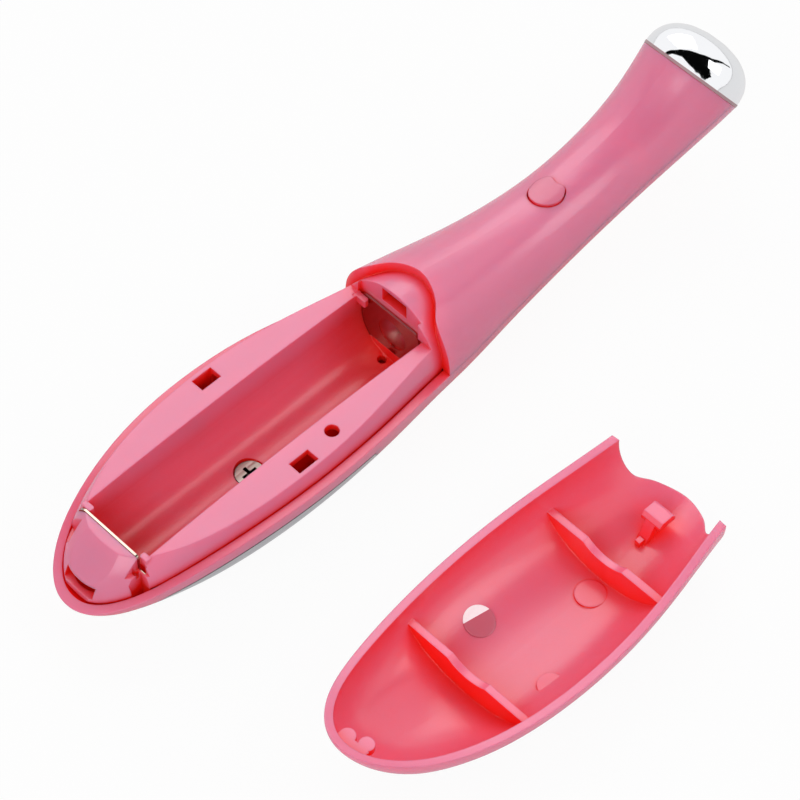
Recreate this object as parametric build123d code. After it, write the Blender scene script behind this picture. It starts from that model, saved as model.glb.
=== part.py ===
from build123d import *
import os
from math import cos, radians, sin, sqrt, tan

# Heated eye massager wand, with its battery cover lifted off and laid down beside it.
# Millimetres.  X runs along the wand towards the massage head, Y across it and Z up, away from
# the belly.  While the pieces are modelled, x = 0 is the face of the battery contact at the
# nose, y = 0 the plane of symmetry and z = 0 the flat land round the battery bay.

# ---------------------------------------------------------------- outer form
WIDEST_X = 23.5               # where the handle is widest
NOSE_REACH = 31.8             # from there to the tip of the nose
BODY_HALF_WIDTH = 12.13
BODY_UP = 8.1                 # height above the parting line at the widest section
BODY_DOWN = 12.4              # depth below it
BODY_SEAM_Z = -1.25           # height of the parting line there
NOSE_DROOP = 5.4              # how far the parting line drops towards the tip
DROOP_X = 15.5                # where that drop starts
# Nose sections: turn round the plan outline in degrees, then half width, height and depth as
# shares of the widest section.
NOSE_SECTIONS = (
    (12, 0.215, 0.21, 0.09),
    (24, 0.43, 0.47, 0.265),
    (36, 0.615, 0.70, 0.455),
    (48, 0.76, 0.83, 0.675),
    (60, 0.875, 0.905, 0.88),
    (75, 0.97, 0.96, 0.99),
)
# Grip sections: x, half width, height above and depth below the parting line, parting line z.
GRIP_SECTIONS = (
    (30.0, 11.87, 8.43, 11.85, -1.62),
    (36.0, 11.20, 8.87, 11.10, -2.27),
    (41.0, 10.40, 9.38, 10.33, -3.00),
)
# Neck sections, round: x, radius, z of the spine, lean of the spine in degrees.
NECK_SECTIONS = (
    (46.5, 9.50, -3.87, -6.0),
    (52.0, 8.79, -4.40, -4.7),
    (60.0, 7.55, -4.91, -2.5),
    (68.0, 6.53, -5.07, 0.5),
    (76.0, 5.88, -4.70, 5.1),
    (84.0, 5.73, -3.57, 11.0),
    (92.0, 6.13, -1.57, 17.2),
    (97.0, 6.74, 0.35, 24.0),
    (101.1, 7.37, 2.30, 35.5),
)
HEAD_X, HEAD_R, HEAD_Z, HEAD_LEAN = NECK_SECTIONS[-1]

# ---------------------------------------------------------------- walls and clearances
SEAM_BELOW = 0.3              # the housings part this far below the widest line
WALL = 1.2                    # both housings
RIM_GAP = 0.25                # groove between the rim of the belly shell and the tray
TRAY_WALL = 1.2
COVER_WALL = 1.1
COVER_EDGE_GAP = 0.12         # between the cover's edges and the housings when it is fitted
SKIRT = 1.6                   # how far the tray reaches down inside the rim
RUNNING_GAP = 0.06            # round pieces that slide or turn
TROUGH_PLAY = 0.1             # between the battery trough and the belly shell

# ---------------------------------------------------------------- battery bay
CELL_DIAMETER = 10.5          # one AAA cell
BAY_LENGTH = 46.4             # between the two contacts
BAY_WIDTH = 11.0
CELL_AXIS_Z = -3.75
BAY_WALL = 1.2
LAND_ARCH = 0.7               # the land is a little higher in the middle of the bay
CONTACT_THICKNESS = 0.3
CONTACT_GROOVE = 0.35         # how far a contact reaches into each side wall
CONTACT_FLOOR_Z = -7.4        # lower edge of both contacts
CONTACT_PLAY = 0.1
CONTACT_SHOULDER = 1.2        # how much narrower a contact's upper part is on one side
CONTACT_FAR_EASE = 1.2        # rounding of the corner on the other side
BUMP_RADIUS = 2.4             # pressed bump that meets the cell
BUMP_HEIGHT = 0.6
# For each contact: top edge, how deep its shoulder lies below it, rounding above the shoulder.
NOSE_CONTACT_SHAPE = (-0.05, 2.9, 0.5)
NECK_CONTACT_SHAPE = (0.1, 1.9, 1.1)
BULKHEAD = 1.3                # wall behind each contact
SHELF_WALL_X = 46.2           # front wall of the shelf behind the bay
SHELF_RECESS_START = -4.75    # the contact is let in through this recess in the shelf's front wall
COLLAR_LAP = 1.5              # how far the shelf runs in under the collar
LUG_LENGTH = 0.8              # lugs that hold the contacts back, along the wand
LUG_DEPTH = 1.2
# Each lug: nearer end, distance of its tip from the middle of the bay, side.
LUGS = (
    (0.05, 4.6, -1),
    (0.05, 4.3, 1),
    (45.5, 4.0, 1),
)
DRAIN_X = 45.6                # small round opening in the floor of the bay
DRAIN_Y = 1.05
DRAIN_DIAMETER = 1.2
NOSE_WINDOW_START = -0.6      # window under the bay's end, where the belly is shallow
NOSE_WINDOW_END = 3.0
NOSE_WINDOW_WIDTH = 6.4
NOSE_WINDOW_HEIGHT = 1.2      # above the floor of the bay

# ---------------------------------------------------------------- nose of the tray
# Sections of its domed top: x, half width, height of the crown.
NOSE_TOP = (
    (0.5, 20.0, 0.0),
    (-3.0, 7.4, -1.0),
    (-5.0, 5.3, -2.95),
    (-7.0, 3.4, -5.0),
)
MOUTH_X = -6.3                # the tip is cut off square here for the cover's hook
MOUTH_WIDTH = 5.2
MOUTH_CORNER = 0.8
NOTCH_X0 = -3.5               # notch on one side of the nose, open to the rim
NOTCH_X1 = -1.2
NOTCH_Y = 4.3
NOTCH_FLOOR_Z = -4.4
POCKET_X0 = -2.6              # shallow pocket on the other side
POCKET_X1 = -0.2
POCKET_Y = -4.7
POCKET_FLOOR_Z = -2.1
POCKET_STEP_Y = -5.35         # outside this the pocket is cut right down
POCKET_STEP_X1 = -0.6
PIN_HOLE_X = -1.09
PIN_HOLE_Y = -5.0
PIN_HOLE_DIAMETER = 0.8
PIN_HOLE_DEPTH = 0.8
# Plan curve of the collar's edge: distance from the middle, then x.
COLLAR_EDGE = (
    (0.0, 51.35),
    (1.6, 51.1),
    (3.2, 50.45),
    (4.3, 49.75),
    (5.3, 48.75),
    (6.0, 48.1),
    (7.2, 47.6),
    (9.3, 47.3),
    (13.0, 47.2),
)

# ---------------------------------------------------------------- openings in the land
WINDOW_X = 23.0               # square windows of the snaps, one on each side
WINDOW_Y = 8.69
WINDOW_LENGTH = 3.1
WINDOW_WIDTH = 1.95
HOLE_X = 28.6                 # round hole beside the bay
HOLE_Y = -7.76
HOLE_DIAMETER = 1.9

# ---------------------------------------------------------------- tray screw
SCREW_X = 21.7
SCREW_HEAD_DIAMETER = 3.8
SCREW_HEAD_HEIGHT = 1.0
SCREW_SHANK_DIAMETER = 1.9
SCREW_LENGTH = 2.6            # under the head
SCREW_HEAD_SINK = 0.1         # below the floor of the trough
SCREW_PLAY = 0.15
SCREW_TIP_ROOM = 0.1
SCREW_CROSS_LENGTH = 2.2      # cross recess in the head
SCREW_CROSS_WIDTH = 0.5
SCREW_CROSS_DEPTH = 0.6
BOSS_DIAMETER = 5.2
BOSS_FLOOR = 0.9              # plastic under the screw's head

# ---------------------------------------------------------------- front plate
PLATE_THICKNESS = 0.5
PLATE_GAP = 0.12
PLATE_DROP = 2.1              # its edge lies this far below the parting line
PLATE_START_X = -2.6
PLATE_END_X = 39.5

# ---------------------------------------------------------------- cover
RIB_A_X = 12.9
RIB_B_X = 36.3
RIB_THICKNESS = 1.0
RIB_LAND_GAP = 0.3            # between the ribs and the land when the cover is fitted
CELL_CLEARANCE = 0.3
# The catch leans from the cover's inside towards the head: side outline of its stem, x and z.
CATCH_STEM = (
    (42.7, 7.0),
    (44.3, 7.0),
    (44.4, 5.0),
    (45.4, 2.9),
    (45.4, 2.2),
    (44.5, 2.2),
    (43.0, 5.0),
)
CATCH_STEM_WIDTH = 1.5
CATCH_X0 = 44.5               # the catch's head
CATCH_X1 = 47.3
CATCH_HEAD_WIDTH = 3.1
CATCH_Z = 1.6                 # its lower face when the cover is fitted
CATCH_HEAD_HEIGHT = 1.1
CATCH_CHAMFER = 0.5
CATCH_WEB_X = 42.3            # low web behind the stem
CATCH_WEB_LENGTH = 0.9
CATCH_WEB_WIDTH = 0.8
CATCH_WEB_Z = 4.2
SLOT_WIDTH = 4.3
SLOT_Z0 = 1.2
SLOT_Z1 = 3.5
SLOT_END_X = 48.4
SLOT_PLAY = 0.3
HOOK_WIDTH = 4.4
HOOK_X = -5.6                 # end of the tongue between its two lobes
HOOK_Z = -5.1
HOOK_HEIGHT = 1.0
# The two lobes of the hook: x, y, radius.
HOOK_LOBES = (
    (-5.8, -1.15, 1.05),
    (-5.0, 1.2, 1.0),
)
# Flat pads where ejector pins pushed the cover out of its mould: x, y, z, radius.
EJECTOR_PADS = (
    (20.5, -5.6, 4.85, 1.7),
    (33.3, 0.7, 5.3, 2.0),
    (20.1, 6.7, 4.35, 1.7),
)
COVER_ASIDE_X = 7.08          # where the cover lies
COVER_ASIDE_Y = -39.94

# ---------------------------------------------------------------- button and switch
BUTTON_X = 73.8
BUTTON_PROUD = 0.35
BUTTON_GAP = 0.15
BUTTON_TRAVEL = 0.4
# Half outline of the heart: along the wand, then across it.
HEART = (
    (-2.35, 0.0),
    (-1.75, 1.35),
    (-0.3, 2.1),
    (1.4, 1.98),
    (2.3, 1.05),
    (2.0, 0.0),
)
FLANGE_Z = -1.1
FLANGE_THICKNESS = 0.7
FLANGE_LIP = 0.5
PLUNGER_DIAMETER = 1.8
PLUNGER_SHOWN = 0.6
PLUNGER_SUNK = 1.0
SWITCH_LENGTH = 4.6
SWITCH_WIDTH = 3.8
SWITCH_HEIGHT = 1.8
BOARD_LENGTH = 18.0
BOARD_WIDTH = 7.4
BOARD_THICKNESS = 0.8
CHIP_LENGTH = 3.9
CHIP_WIDTH = 3.0
CHIP_HEIGHT = 1.2
LEDGE_HEIGHT = 1.2
LEDGE_LAP = 0.8               # how far the ledges reach under the board
LEDGE_PLAY = 0.12

# ---------------------------------------------------------------- motor
MOTOR_X = 88.0
MOTOR_Z = -2.55
MOTOR_LEAN = 14.5
MOTOR_DIAMETER = 4.4
MOTOR_LENGTH = 8.0
MOTOR_CAP_LENGTH = 1.2
MOTOR_CAP_STEP = 0.1          # how much smaller the cap's radius is than the can's
SHAFT_DIAMETER = 0.8
SHAFT_SHOWN = 4.0
SHAFT_END_PLAY = 0.1
WEIGHT_RADIUS = 2.1
WEIGHT_LENGTH = 2.6
WEIGHT_OFFSET = 0.7           # from the can to the weight
WEIGHT_CUT = 0.3              # the half disc ends this far beyond the shaft's axis
WEIGHT_HUB_WALL = 0.55
SLEEVE_WALL = 0.7
SLEEVE_LENGTH = 6.0
CRADLE_LENGTH = 3.0

# ---------------------------------------------------------------- head
RING_HEIGHT = 0.4
RING_PROUD = 0.05
HEAD_HEIGHT = 5.8
HEAD_BLUNTNESS = 2.3
HEAD_WALL = 0.8
SEAT_PLUG = 2.4
SEAT_PLAY = 0.06
SEAT_STEP = 1.1
SEAT_SLIM = 0.3               # how much slimmer it is than the hole in the ring
SEAT_SHOULDER = 0.3           # between the step and the inside of the dome
PEDESTAL_RIM = 0.4            # round the heater
HEATER_RADIUS = 3.5
HEATER_THICKNESS = 1.0
HEATER_TOP = 4.1
PAD_STEP = 0.2                # how much smaller the pad's radius is than the heater's

# ---------------------------------------------------------------- leads
LEAD_DIAMETER = 0.9
LEAD_PLAY = 0.2
BEND_SHARE = 0.45             # of the shorter run that an arc takes
LEAD_RISE = 0.05              # between the leads and the board they lie on
SOLDER_RADIUS = 0.85
BATTERY_PADS_X = 65.9         # ends of the leads on the board, along the wand and across it
BATTERY_PADS_Y = 2.6
LOAD_PADS_X = 80.9
MOTOR_PADS_Y = 0.95
HEATER_PADS_Y = 2.75
TERMINAL_Z = -4.9             # soldering tail of the contact at the nose
TERMINAL_HEIGHT = 0.8
TERMINAL_Y = -6.6             # its outer face
TERMINAL_END_X = 2.4
CHANNEL_END_X = 5.0           # channel for it and its lead, beside the bay
NECK_LEAD_Y = 4.2             # where the other battery lead leaves the bay's end wall
NECK_LEAD_Z = -6.2
HEATER_LEAD_Y = 3.85          # beside the motor
HEATER_HOLE_Y = 2.2           # through the head's carrier
# Bends of the battery leads on their way to the board.
NOSE_LEAD_BENDS = (
    (8.0, -7.6, -5.3),
    (20.0, -8.0, -6.2),
    (36.0, -7.6, -6.7),
    (49.5, -6.6, -6.8),
    (57.0, -4.9, -5.6),
)
NECK_LEAD_BENDS = (
    (50.5, 4.2, -6.2),
    (58.0, 3.6, -5.0),
)

SECTION_POINTS = 13           # on each half of a section's curve
FAR = 60.0                    # larger than the wand's sections, for cutting prisms
STANDING = (Align.CENTER, Align.CENTER, Align.MIN)
HANGING = (Align.CENTER, Align.CENTER, Align.MAX)


# ================================================================ shared forms
def block(x0, x1, y0, y1, z0, z1):
    """A box given by its limits."""
    middle = Pos((x0 + x1) / 2, (y0 + y1) / 2, (z0 + z1) / 2)
    return middle * Box(x1 - x0, y1 - y0, z1 - z0)


def seam_z(x):
    """Height of the widest line over the nose and the widest section."""
    tip = WIDEST_X - NOSE_REACH
    if x >= DROOP_X:
        return BODY_SEAM_Z
    return BODY_SEAM_Z - NOSE_DROOP * ((DROOP_X - x) / (DROOP_X - tip)) ** 2


def section(x, z, half_width, up, down, lean=0.0):
    """One section of the hull: half ellipses above and below the parting line."""
    turn = radians(lean)
    plane = Plane(origin=(x, 0, z), x_dir=(0, 1, 0), z_dir=(cos(turn), 0, sin(turn)))
    right = []
    for step in range(SECTION_POINTS):
        angle = -90 + 180 * step / (SECTION_POINTS - 1)
        height = up if angle > 0 else down
        right.append((half_width * cos(radians(angle)), height * sin(radians(angle))))
    left = [(-y, z) for y, z in reversed(right)]
    right_half = Spline(*right)
    left_half = Spline(*left)
    return plane * make_face([right_half, left_half])


def hull(inset=0.0):
    """The smooth outer form of the wand, from nose to head, moved inwards by the inset."""
    reach = NOSE_REACH - inset
    tip = WIDEST_X - reach
    width = BODY_HALF_WIDTH - inset
    up = BODY_UP - inset
    down = BODY_DOWN - inset
    sections = [Vertex(tip, 0, seam_z(tip))]
    for turn, width_share, up_share, down_share in NOSE_SECTIONS:
        x = WIDEST_X - reach * cos(radians(turn))
        sections.append(section(x, seam_z(x), width * width_share, up * up_share, down * down_share))
    sections.append(section(WIDEST_X, BODY_SEAM_Z, width, up, down))
    for x, half_width, height, depth, z in GRIP_SECTIONS:
        sections.append(section(x, z, half_width - inset, height - inset, depth - inset))
    for x, radius, z, lean in NECK_SECTIONS:
        size = radius - inset
        sections.append(section(x, z, size, size, size, lean))
    return loft(sections)


def below_seam(drop=0.0):
    """Everything under the parting surface, which may be lowered by a further drop."""
    drop += SEAM_BELOW
    line = []
    tip = WIDEST_X - NOSE_REACH
    for share in (0.0, 0.12, 0.3, 0.55, 0.8):
        x = tip + share * (DROOP_X - tip)
        line.append((x, seam_z(x) - drop))
    line.append((WIDEST_X, BODY_SEAM_Z - drop))
    for x, half_width, height, depth, z in GRIP_SECTIONS:
        line.append((x, z - drop))
    for x, radius, z, lean in NECK_SECTIONS:
        line.append((x, z - drop))
    run_out = 12.0
    lean = radians(HEAD_LEAN)
    first = (line[0][0] - run_out, line[0][1] - run_out / 2)
    last = (line[-1][0] + run_out * cos(lean), line[-1][1] + run_out * sin(lean))
    edge = Line(first, line[0]) + Spline(*line) + Line(line[-1], last)
    bottom = Polyline(last, (last[0], -FAR), (first[0], -FAR), first)
    profile = make_face(edge + bottom)
    return extrude(Plane.XZ * profile, FAR, both=True)


def beyond_collar(shift=0.0):
    """Everything on the head's side of the collar's edge."""
    half = [(x + shift, y) for y, x in COLLAR_EDGE]
    mirrored = [(x, -y) for x, y in reversed(half[1:])]
    curve = Spline(*(mirrored + half))
    first = mirrored[0]
    last = half[-1]
    rest = Polyline(last, (last[0], FAR), (2 * FAR, FAR), (2 * FAR, -FAR), (first[0], -FAR), first)
    return extrude(Plane.XY * make_face(curve + rest), FAR, both=True)


def trough(radius, x0, x1, top):
    """A round-bottomed channel along the cell's axis, open or solid."""
    floor = Pos((x0 + x1) / 2, 0, CELL_AXIS_Z) * Rot(0, -90, 0) * Cylinder(radius, x1 - x0)
    floor -= block(x0 - 1, x1 + 1, -FAR, FAR, CELL_AXIS_Z, FAR)
    return floor + block(x0, x1, -radius, radius, CELL_AXIS_Z, top)


def heart(grow=0.0):
    """Plan outline of the button."""
    half = []
    for x, y in HEART:
        length = sqrt(x * x + y * y)
        share = (length + grow) / length
        half.append((x * share, y * share))
    mirrored = [(x, -y) for x, y in reversed(half[1:-1])]
    outline = Spline(*(half + mirrored), periodic=True)
    return make_face(outline)


def plate_region(grow=0.0):
    """The part of the belly that the front plate covers."""
    lower = below_seam(PLATE_DROP - grow)
    x0 = PLATE_START_X - grow
    x1 = PLATE_END_X + grow
    half = (x1 - x0) / 2
    across = BODY_HALF_WIDTH * 1.25
    outline = Ellipse(half, across)
    return lower & extrude(Pos((x0 + x1) / 2, 0, 0) * outline, FAR, both=True)


def along(x, z, lean, distance=0.0):
    """A plane across a leaning axis, its X direction across the wand."""
    turn = radians(lean)
    origin = (x + distance * cos(turn), 0, z + distance * sin(turn))
    return Plane(origin=origin, x_dir=(0, 1, 0), z_dir=(cos(turn), 0, sin(turn)))


def disc(plane, radius, height):
    """A cylinder that stands on a plane."""
    return extrude(plane * Circle(radius), height)


# ================================================================ housings
TRAY_INSET = WALL + RIM_GAP
CORE_INSET = TRAY_INSET + TRAY_WALL
BAY_FLOOR_Z = CELL_AXIS_Z - BAY_WIDTH / 2
SCREW_SEAT_Z = BAY_FLOOR_Z - SCREW_HEAD_SINK - SCREW_HEAD_HEIGHT
BOSS_TOP_Z = SCREW_SEAT_Z - BOSS_FLOOR
SWITCH_TOP_Z = FLANGE_Z - FLANGE_THICKNESS - PLUNGER_SHOWN
BOARD_TOP_Z = SWITCH_TOP_Z - SWITCH_HEIGHT
BOARD_UNDER_Z = BOARD_TOP_Z - BOARD_THICKNESS


def motor_cradle():
    """Saddle that grips the motor's rubber sleeve, cut in two by the parting line."""
    plane = along(MOTOR_X, MOTOR_Z, MOTOR_LEAN, -CRADLE_LENGTH / 2)
    saddle = disc(plane, HEAD_R, CRADLE_LENGTH) & hull(WALL / 2)
    saddle -= disc(plane, MOTOR_DIAMETER / 2 + SLEEVE_WALL, CRADLE_LENGTH)
    for side in (-1, 1):
        lead_way = plane * Pos(side * HEATER_LEAD_Y, 0) * Circle(LEAD_DIAMETER / 2 + LEAD_PLAY)
        saddle -= extrude(lead_way, CRADLE_LENGTH)
    return saddle


def board_ledges(lower):
    """Two ledges that carry the circuit board along its edges."""
    x0 = BUTTON_X - BOARD_LENGTH / 2
    x1 = BUTTON_X + BOARD_LENGTH / 2
    inner = BOARD_WIDTH / 2 - LEDGE_LAP
    both = block(x0, x1, inner, FAR, BOARD_UNDER_Z - LEDGE_HEIGHT, BOARD_UNDER_Z)
    both += block(x0, x1, -FAR, -inner, BOARD_UNDER_Z - LEDGE_HEIGHT, BOARD_UNDER_Z)
    return (both & hull(WALL / 2) & lower) + (both & hull(WALL + LEDGE_PLAY))


def front_housing(outer, inner, lower):
    shell = (outer - inner) & lower
    boss = Pos(SCREW_X, 0, BOSS_TOP_Z) * Cylinder(BOSS_DIAMETER / 2, FAR, align=HANGING)
    shell += boss & hull(WALL / 2)
    shell += board_ledges(lower)
    shell += motor_cradle() & lower
    pilot = Cylinder(SCREW_SHANK_DIAMETER / 2, SCREW_LENGTH + SCREW_TIP_ROOM, align=HANGING)
    shell -= Pos(SCREW_X, 0, SCREW_SEAT_Z) * pilot
    recess = (outer - hull(PLATE_THICKNESS)) & plate_region(PLATE_GAP)
    return shell - recess


def contact_pocket(x0, x1, top):
    """Room for a battery contact: the trough's outline grown by the groove and the play."""
    radius = BAY_WIDTH / 2 + CONTACT_GROOVE + CONTACT_PLAY
    form = trough(radius, x0, x1, top)
    return form - block(x0 - 1, x1 + 1, -FAR, FAR, -FAR, CONTACT_FLOOR_Z - CONTACT_PLAY)


def land_cut():
    """What lies above the gently arched land, up to the front wall of the shelf."""
    start = -NOSE_REACH
    line = ThreePointArc((0, 0), (BAY_LENGTH / 2, LAND_ARCH), (BAY_LENGTH, 0))
    path = Line((start, 0), (0, 0)) + line
    top = Polyline((BAY_LENGTH, 0), (BAY_LENGTH, FAR), (start, FAR), (start, 0))
    return extrude(Plane.XZ * make_face(path + top), FAR, both=True) & block(-FAR, SHELF_WALL_X, -FAR, FAR, -FAR, FAR)


def nose_top():
    """Everything under the gently domed top of the tray's nose."""
    sections = []
    for x, half_width, crown in NOSE_TOP:
        sections.append(section(x, seam_z(x), half_width, crown - seam_z(x), BODY_DOWN))
    return loft(sections)


def nose_cuts():
    """What is cut out of the tray's nose: mouth for the hook, notch, pocket and pin hole."""
    tip = -FAR
    square = block(tip, MOUTH_X, -MOUTH_WIDTH / 2, MOUTH_WIDTH / 2, -FAR, FAR)
    inner_corners = square.edges().filter_by(Axis.Z).group_by(Axis.X)[-1]
    cuts = fillet(inner_corners, MOUTH_CORNER)
    half = HOOK_WIDTH / 2 + SLOT_PLAY
    reach = max(x + radius for x, y, radius in HOOK_LOBES) + SLOT_PLAY
    cuts += block(tip, reach, -half, half, HOOK_Z - SLOT_PLAY, HOOK_Z + HOOK_HEIGHT + SLOT_PLAY)
    cuts += block(NOTCH_X0, NOTCH_X1, NOTCH_Y, FAR, NOTCH_FLOOR_Z, FAR)
    cuts += block(POCKET_X0, POCKET_X1, -FAR, POCKET_Y, POCKET_FLOOR_Z, FAR)
    cuts += block(POCKET_X0, POCKET_STEP_X1, -FAR, POCKET_STEP_Y, -FAR, FAR)
    hole = Cylinder(PIN_HOLE_DIAMETER / 2, 2 * PIN_HOLE_DEPTH)
    return cuts + Pos(PIN_HOLE_X, PIN_HOLE_Y, POCKET_FLOOR_Z) * hole


def contact_lugs():
    """Small rounded lugs at the bay's corners that keep the contacts from tipping inwards."""
    lugs = []
    for x, reach, side in LUGS:
        outside = BAY_WIDTH / 2 + CONTACT_GROOVE
        lug = Box(LUG_LENGTH, outside - reach, LUG_DEPTH)
        tip = lug.faces().sort_by(Axis.Y)[0 if side > 0 else -1]
        lug = fillet(tip.edges().filter_by(Axis.Z), LUG_LENGTH / 3)
        lugs.append(Pos(x + LUG_LENGTH / 2, side * (outside + reach) / 2, -LUG_DEPTH / 2) * lug)
    return lugs


def back_housing(outer, inner, lower, tray_form, core):
    collar = beyond_collar()
    tray = (tray_form - collar) - below_seam(SKIRT)
    above_land = land_cut()
    tray -= above_land
    tray -= block(-FAR, 0, -FAR, FAR, -FAR, FAR) - nose_top()
    body = ((outer & collar) - lower) + tray
    under_collar = beyond_collar(COLLAR_LAP)
    hollow = (core - under_collar) + (inner & under_collar)
    hollow -= Pos(0, 0, -TRAY_WALL) * above_land
    body -= hollow
    # the trough with its end walls stands inside the belly shell
    x0 = -CONTACT_THICKNESS - CONTACT_PLAY - BULKHEAD
    x1 = BAY_LENGTH + CONTACT_THICKNESS + CONTACT_PLAY + BULKHEAD
    walls = trough(BAY_WIDTH / 2 + BAY_WALL, x0, x1, FAR) & hull(WALL + TROUGH_PLAY)
    walls -= above_land
    walls -= block(-FAR, 0, -FAR, FAR, -FAR, FAR) - nose_top()
    walls -= (outer - tray_form) - below_seam(SKIRT)
    seat = Cylinder(BOSS_DIAMETER / 2, CELL_AXIS_Z - BOSS_TOP_Z, align=STANDING)
    body += walls + Pos(SCREW_X, 0, BOSS_TOP_Z) * seat
    body -= trough(BAY_WIDTH / 2, 0, BAY_LENGTH, 0)
    body -= trough(BAY_WIDTH / 2, 0, SHELF_WALL_X, FAR)
    # pockets of the two contacts, and the recess through which the rear one is let in
    sheet = CONTACT_THICKNESS + CONTACT_PLAY
    body -= contact_pocket(-sheet, 0, FAR)
    body -= contact_pocket(BAY_LENGTH, BAY_LENGTH + sheet, CONTACT_PLAY)
    recess_end = BAY_WIDTH / 2 + CONTACT_GROOVE + CONTACT_PLAY
    body -= block(SHELF_WALL_X - 1, BAY_LENGTH + sheet, SHELF_RECESS_START, recess_end, 0, FAR)
    for lug in contact_lugs():
        body += lug
    half = NOSE_WINDOW_WIDTH / 2
    body -= block(NOSE_WINDOW_START, NOSE_WINDOW_END, -half, half, -FAR, BAY_FLOOR_Z + NOSE_WINDOW_HEIGHT)
    body -= Pos(DRAIN_X, DRAIN_Y, BAY_FLOOR_Z) * Cylinder(DRAIN_DIAMETER / 2, 4 * BAY_WALL)
    # windows of the snaps, and the round hole beside the bay
    for side in (-1, 1):
        body -= Pos(WINDOW_X, side * WINDOW_Y, 0) * Box(WINDOW_LENGTH, WINDOW_WIDTH, 4 * TRAY_WALL)
    body -= Pos(HOLE_X, HOLE_Y, 0) * Cylinder(HOLE_DIAMETER / 2, 4 * TRAY_WALL)
    # slot for the cover's catch, and the nose
    half = SLOT_WIDTH / 2
    body -= block(SHELF_WALL_X - 1, SLOT_END_X, -half, half, SLOT_Z0, SLOT_Z1)
    body -= nose_cuts()
    # screw
    pocket = Cylinder(SCREW_HEAD_DIAMETER / 2 + SCREW_PLAY, CELL_AXIS_Z - SCREW_SEAT_Z, align=STANDING)
    body -= Pos(SCREW_X, 0, SCREW_SEAT_Z) * pocket
    body -= Pos(SCREW_X, 0, SCREW_SEAT_Z) * Cylinder(SCREW_SHANK_DIAMETER / 2 + SCREW_PLAY, 4 * BOSS_FLOOR)
    # button well and motor cradle
    body -= extrude(Pos(BUTTON_X, 0, FLANGE_Z) * heart(BUTTON_GAP), FAR)
    body += motor_cradle() - lower
    # ways out for the battery leads
    way = Rot(0, 90, 0) * Cylinder(LEAD_DIAMETER / 2 + LEAD_PLAY, 4 * BULKHEAD)
    body -= Pos(BAY_LENGTH + BULKHEAD, NECK_LEAD_Y, NECK_LEAD_Z) * way
    z0 = TERMINAL_Z - TERMINAL_HEIGHT / 2 - 3 * CONTACT_PLAY
    z1 = TERMINAL_Z + TERMINAL_HEIGHT / 2 + 3 * CONTACT_PLAY
    inner_y = TERMINAL_Y + CONTACT_THICKNESS + CONTACT_PLAY
    body -= block(-sheet, CHANNEL_END_X, -FAR, inner_y, z0, z1)
    return body - block(-sheet, CONTACT_PLAY, -FAR, -BAY_WIDTH / 2, z0, z1)


def cover_catch():
    """Leaning catch with a cross head, and the low web behind it."""
    stem = extrude(Plane.XZ * make_face(Polyline(*CATCH_STEM, close=True)), CATCH_STEM_WIDTH / 2, both=True)
    half = CATCH_HEAD_WIDTH / 2
    head = block(CATCH_X0, CATCH_X1, -half, half, CATCH_Z, CATCH_Z + CATCH_HEAD_HEIGHT)
    lower_edges = head.faces().sort_by(Axis.Z)[0].edges().filter_by(Axis.Y)
    head = chamfer(lower_edges, CATCH_CHAMFER)
    half = CATCH_WEB_WIDTH / 2
    web = block(CATCH_WEB_X, CATCH_WEB_X + CATCH_WEB_LENGTH, -half, half, CATCH_WEB_Z, FAR)
    return stem, head, web


def cover_hook():
    """Flat tongue with two round lobes that goes in under the tray's nose."""
    tongue = block(-FAR, HOOK_X, -HOOK_WIDTH / 2, HOOK_WIDTH / 2, HOOK_Z, HOOK_Z + HOOK_HEIGHT)
    for x, y, radius in HOOK_LOBES:
        tongue += Pos(x, y, HOOK_Z) * Cylinder(radius, HOOK_HEIGHT, align=STANDING)
    return tongue


def battery_cover(outer, lower):
    region = beyond_collar(-COVER_EDGE_GAP)
    seam = below_seam(-COVER_EDGE_GAP)
    inside = (hull(COVER_WALL / 2) - seam) - region
    cover = ((outer - hull(COVER_WALL)) - seam) - region
    clear = Pos(0, 0, RIB_LAND_GAP) * land_cut()
    room = Pos(0, 0, CELL_AXIS_Z) * Rot(0, 90, 0) * Cylinder(CELL_DIAMETER / 2 + CELL_CLEARANCE, 4 * FAR)
    for x in (RIB_A_X, RIB_B_X):
        rib = inside & block(x - RIB_THICKNESS / 2, x + RIB_THICKNESS / 2, -FAR, FAR, -FAR, FAR)
        cover += (rib & clear) - room
    stem, head, web = cover_catch()
    cover += (stem & inside) + head
    cover += web & inside
    cover += cover_hook() & inside
    for x, y, z, radius in EJECTOR_PADS:
        cover += Pos(x, y, z) * Cylinder(radius, FAR, align=STANDING) & inside
    return cover


def front_plate(outer):
    return (outer - hull(PLATE_THICKNESS)) & plate_region()


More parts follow.
